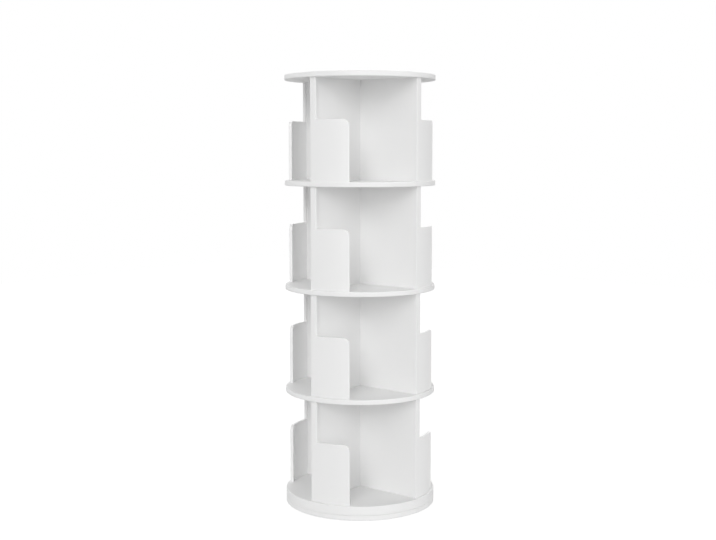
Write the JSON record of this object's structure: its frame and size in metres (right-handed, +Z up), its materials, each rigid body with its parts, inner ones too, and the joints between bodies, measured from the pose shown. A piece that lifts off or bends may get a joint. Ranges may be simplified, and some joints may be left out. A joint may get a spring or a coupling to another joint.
{
  "type": "revolving bookcase",
  "caption": "Tall round white bookcase of stacked open tiers with crossed dividers and curved end guards, turning as one column on a ring bearing above a fixed round base.",
  "frame": {"origin": "on the floor, on the axis that the column turns about", "axes": "+Z up along the turning axis; +X and +Y along the dividers of the cross at rest"},
  "size_m": [0.46, 0.46, 1.317],
  "materials": {
    "white_board": "satin white coated board",
    "white_guard": "satin white lacquer on moulded board",
    "white_cap": "matt",
    "pad_rubber": "matt",
    "ring_alloy": "turned satin",
    "ball_steel": "polished",
    "cage_nylon": "natural",
    "zinc_fitting": "zinc plated",
    "beech_dowel": "raw beech"
  },
  "bodies": {
    "base": {"base_board": "white_board", "foot_pads": "pad_rubber", "bearing_inner_ring": "ring_alloy", "inner_ring_screws": "zinc_fitting"},
    "carousel": {"skirt_ring": "white_board", "bottom_board": "white_board", "shelf_board_1": "white_board", "shelf_board_2": "white_board", "shelf_board_3": "white_board", "top_board": "white_board", "tier1_long_divider": "white_board", "tier1_short_divider_a": "white_board", "tier1_short_divider_b": "white_board", "tier2_long_divider": "white_board", "tier2_short_divider_a": "white_board", "tier2_short_divider_b": "white_board", "tier3_long_divider": "white_board", "tier3_short_divider_a": "white_board", "tier3_short_divider_b": "white_board", "tier4_long_divider": "white_board", "tier4_short_divider_a": "white_board", "tier4_short_divider_b": "white_board", "tier1_guard_a": "white_guard", "tier1_guard_b": "white_guard", "tier1_guard_c": "white_guard", "tier1_guard_d": "white_guard", "tier2_guard_a": "white_guard", "tier2_guard_b": "white_guard", "tier2_guard_c": "white_guard", "tier2_guard_d": "white_guard", "tier3_guard_a": "white_guard", "tier3_guard_b": "white_guard", "tier3_guard_c": "white_guard", "tier3_guard_d": "white_guard", "tier4_guard_a": "white_guard", "tier4_guard_b": "white_guard", "tier4_guard_c": "white_guard", "tier4_guard_d": "white_guard", "cam_caps": "white_cap", "bearing_outer_ring": "ring_alloy", "cam_nuts": "zinc_fitting", "end_cam_bolts": "zinc_fitting", "through_cam_bolts": "zinc_fitting", "outer_ring_screws": "zinc_fitting", "end_dowels": "beech_dowel", "through_dowels": "beech_dowel", "centre_dowels": "beech_dowel", "guard_dowels": "beech_dowel"},
    "ball_ring": {"ball_cage": "cage_nylon", "bearing_balls": "ball_steel"}
  },
  "joints": [
    {"name": "carousel_turn", "type": "hinge", "parent": "base", "child": "carousel", "pos_m": [0, 0, 0.0235], "axis": [0, 0, 1], "continuous": true},
    {"name": "ball_ring_turn", "type": "hinge", "parent": "base", "child": "ball_ring", "pos_m": [0, 0, 0.0235], "axis": [0, 0, 1], "continuous": true}
  ],
  "couplings": [
    {"joint": "ball_ring_turn", "follows": "carousel_turn", "ratio": 0.51154}
  ]
}
